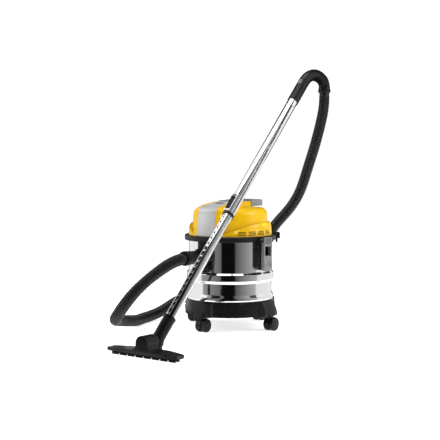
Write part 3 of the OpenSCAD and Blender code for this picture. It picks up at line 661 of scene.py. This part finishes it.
def make_bristles(node, seed):
    """A strip that holds eight tufts of stiff, slightly splayed bristles."""
    lo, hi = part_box(node)
    draw = random.Random(seed)
    verts, faces = [], []

    def prism(points, tops):
        base, n = len(verts), len(points)
        top = base + n
        verts.extend(points + tops)
        faces.extend([(base + k, base + (k + 1) % n, top + (k + 1) % n, top + k) for k in range(n)])
        faces.append(tuple(base + k for k in range(n - 1, -1, -1)))
        faces.append(tuple(top + k for k in range(n)))

    bar = [(lo.x, lo.y), (hi.x, lo.y), (hi.x, hi.y), (lo.x, hi.y)]
    bar_low = hi.z - 0.0035
    prism([(x, y, bar_low) for x, y in bar], [(x, y, hi.z) for x, y in bar])
    pitch = (hi.x - lo.x) / 8
    for tuft in range(8):
        x0 = lo.x + tuft * pitch + TUFT_GAP / 2
        columns, rows, r = 34, 5, 0.00036
        for i in range(columns):
            for j in range(rows):
                x = x0 + (pitch - TUFT_GAP) * (i + 0.5) / columns + draw.uniform(-1, 1) * 0.0001
                y = lo.y + 0.0008 + (hi.y - lo.y - 0.0016) * (j + 0.5) / rows + draw.uniform(-1, 1) * 0.0001
                lean_x = draw.uniform(-1, 1) * 0.0005 + 0.0007 * (i / (columns - 1) - 0.5)
                lean_y = draw.uniform(-1, 1) * 0.0005 + 0.0010 * (j / (rows - 1) - 0.5)
                tip = draw.uniform(0, 0.0007)
                ring = [(math.cos(a), math.sin(a)) for a in (0.4, 2.494, 4.588)]
                prism(
                    [(x + lean_x + r * 0.7 * c, y + lean_y + r * 0.7 * q, tip) for c, q in ring],
                    [(x + r * c, y + r * q, bar_low + 0.0006) for c, q in ring],
                )
    strip = new_object(node + "_tufts", verts, faces, "nozzle", 40)
    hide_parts(node)
    finish_piece(strip, "bristle")


make_bristles("front_bristles", 5)
make_bristles("rear_bristles", 6)


# ---- CAD nodes: rounded edges and a finish each ----

SOFT_EDGE = {  # width in mm of the rounding, where it isn't the usual one
    "head_shell": 1.2,
    "carry_handle": 1.8,
    "latch_lever_left": 0.7,
    "latch_lever_right": 0.7,
    "base": 1.0,
    "nozzle_shell": 0.6,
    "front_panel": 0.35,
    "collar": 0.6,
    "cable_hook": 0.8,
    "latch_keeper_left": 1.0,
    "latch_keeper_right": 1.0,
    "inlet_port": 0.8,
    "hose_cuff_lower": 0.4,
    "catch_button": 0.3,
    "bleed_slider": 0.3,
    "power_switch": 0.8,
}
USUAL_EDGE = 0.25


def soften(obj, width):
    """Rounds the sharp edges of a CAD node with modifiers and leaves its mesh as it is."""
    obj.data.polygons.foreach_set("use_smooth", [True] * len(obj.data.polygons))
    weld = obj.modifiers.new("weld", "WELD")
    weld.merge_threshold = 1e-5
    bevel = obj.modifiers.new("bevel", "BEVEL")
    bevel.width, bevel.segments, bevel.limit_method = width / 1000, 2, "ANGLE"
    bevel.angle_limit, bevel.miter_outer = math.radians(32), "MITER_ARC"
    bevel.use_clamp_overlap = True
    shading = obj.modifiers.new("shading", "WEIGHTED_NORMAL")
    shading.keep_sharp, shading.weight = False, 60


for name, obj in NODES.items():
    finish_piece(obj, SLOTS[name])
    if not obj.hide_render:
        soften(obj, SOFT_EDGE.get(name, USUAL_EDGE))


# ---- Studio ----


WALL_REACH, WALL_SPLIT, WALL_TOP = 0.74, 0.44, 1.9


def studio():
    """The pale floor, the white surroundings, the cards that the metal reflects, and three soft lights."""
    world = bpy.data.worlds.new("studio")
    bpy.context.scene.world = world
    world.use_nodes = True
    world.node_tree.nodes["Background"].inputs["Color"].default_value = (1, 1, 1, 1)
    world.node_tree.nodes["Background"].inputs["Strength"].default_value = 0.46
    bpy.context.scene.view_settings.view_transform = "Standard"

    floor = new_object("floor", [(-30, -30, 0), (30, -30, 0), (30, 30, 0), (-30, 30, 0)], [(0, 1, 2, 3)])
    s = Shader("studio_floor", (0.62, 0.62, 0.62), 0.8, spec=0.1)
    s.tint(s.ranged(s.noise(3, 2), 0.4, 0.6, 0, 0.2), (0.61, 0.61, 0.61))
    s.bsdf.inputs["Emission Color"].default_value = (1, 1, 1, 1)
    s.bsdf.inputs["Emission Strength"].default_value = 0.74
    floor.data.materials.append(s.mat)

    def only_seen(obj, camera=False, glossy=False):
        """Limits a stage piece to the camera's view or to reflections."""
        obj.visible_camera, obj.visible_glossy = camera, glossy
        obj.visible_diffuse = obj.visible_shadow = obj.visible_transmission = False

    def cylinder_wall(name, reach, low, high):
        turns = [2 * math.pi * k / 96 for k in range(96)]
        rings = [[(reach * math.cos(a), reach * math.sin(a), z) for a in turns] for z in (low, high)]
        return new_object(name, *ring_mesh(rings, False))

    backdrop = cylinder_wall("backdrop", 20, -1, 30)
    s = Shader("backdrop_white", (0, 0, 0), 1.0, spec=0.0)
    s.bsdf.inputs["Emission Color"].default_value = (1, 1, 1, 1)
    s.bsdf.inputs["Emission Strength"].default_value = 1.05
    backdrop.data.materials.append(s.mat)
    only_seen(backdrop, camera=True)

    def reflection_wall(name, low, high, stops):
        """A wall round the drum that only reflections see. Each stop is an angle from the camera's side,
        to the left where it is negative, and the brightness there."""
        wall = cylinder_wall(name, WALL_REACH, low, high)
        wall.location = (DRUM_AXIS[0], DRUM_AXIS[1], 0)
        s = Shader(name, (0, 0, 0), 1.0, spec=0.0)
        split = s.nodes.new("ShaderNodeSeparateXYZ")
        s.links.new(s.coords(), split.inputs[0])
        turn = s.nodes.new("ShaderNodeMath")
        turn.operation = "ARCTAN2"
        s.links.new(split.outputs["Y"], turn.inputs[0])
        s.links.new(split.outputs["X"], turn.inputs[1])
        share = s.ranged(turn.outputs[0], -math.pi, math.pi, 0, 1)
        ramp = s.nodes.new("ShaderNodeValToRGB")
        s.links.new(share, ramp.inputs[0])
        camera_turn = -math.degrees(math.atan2(*CAMERA_ACROSS))
        elements = ramp.color_ramp.elements
        for i, (angle, value) in enumerate(stops):
            place = (camera_turn + angle + 180) / 360
            e = elements[i] if i < 2 else elements.new(place)
            e.position, e.color = place, (value, value, value, 1)
        s.links.new(ramp.outputs[0], s.bsdf.inputs["Emission Color"])
        s.bsdf.inputs["Emission Strength"].default_value = 1.0
        wall.data.materials.append(s.mat)
        only_seen(wall, glossy=True)

    front = [(-76, 1.0), (-72, 0.34), (-24, 0.16), (-21, 0.004), (10, 0.004), (13, 0.10), (45, 0.34)]
    low_sides = [(66, 0.50), (69, 0.9), (143, 1.0), (151, 0.05), (209, 0.05), (217, 1.0)]
    high_sides = [
        (60, 0.5), (63, 0.03), (80, 0.03), (83, 1.0), (112, 1.0), (116, 0.05), (218, 0.05), (222, 1.0),
    ]
    reflection_wall("wall_low", 0.001, WALL_SPLIT, front + low_sides)  # what the drum shows
    reflection_wall("wall_high", WALL_SPLIT, WALL_TOP, front + high_sides)  # what the wand shows

    # A dark card over the wand, which the lower half of its flat upper face reflects
    corners = [(-0.1, -0.17, 0), (0.1, -0.17, 0), (0.1, 0.17, 0), (-0.1, 0.17, 0)]
    card = new_object("dark_card", corners, [(0, 1, 2, 3)])
    away = Vector((-0.612, -0.103, 0.785)).normalized()
    along = Vector((0, math.sin(WAND_LEAN), math.cos(WAND_LEAN)))
    along = (along - away * along.dot(away)).normalized()
    across = along.cross(away)
    card.matrix_world = Matrix((across, along, away)).transposed().to_4x4()
    card.location = at(150, -462, 174) + away * 0.35
    s = Shader("card_black", (0.01, 0.01, 0.01), 1.0, spec=0.0)
    card.data.materials.append(s.mat)
    only_seen(card, glossy=True)

    def softbox(name, place, aim, size, power):
        light = bpy.data.lights.new(name, "AREA")
        light.shape, light.size, light.size_y, light.energy = "RECTANGLE", size[0], size[1], power
        obj = bpy.data.objects.new(name, light)
        bpy.context.scene.collection.objects.link(obj)
        obj.location = place
        obj.rotation_euler = (Vector(aim) - Vector(place)).to_track_quat("-Z", "Y").to_euler()

    softbox("light_left", (-2.6, -2.2, 2.2), (0, 0, 0.3), (1.6, 2.2), 140)
    softbox("light_right", (3.0, 1.2, 2.0), (0, 0, 0.3), (1.4, 2.2), 150)
    softbox("light_top", (0, 0, 3.2), (0, 0, 0), (2.6, 2.6), 60)


studio()
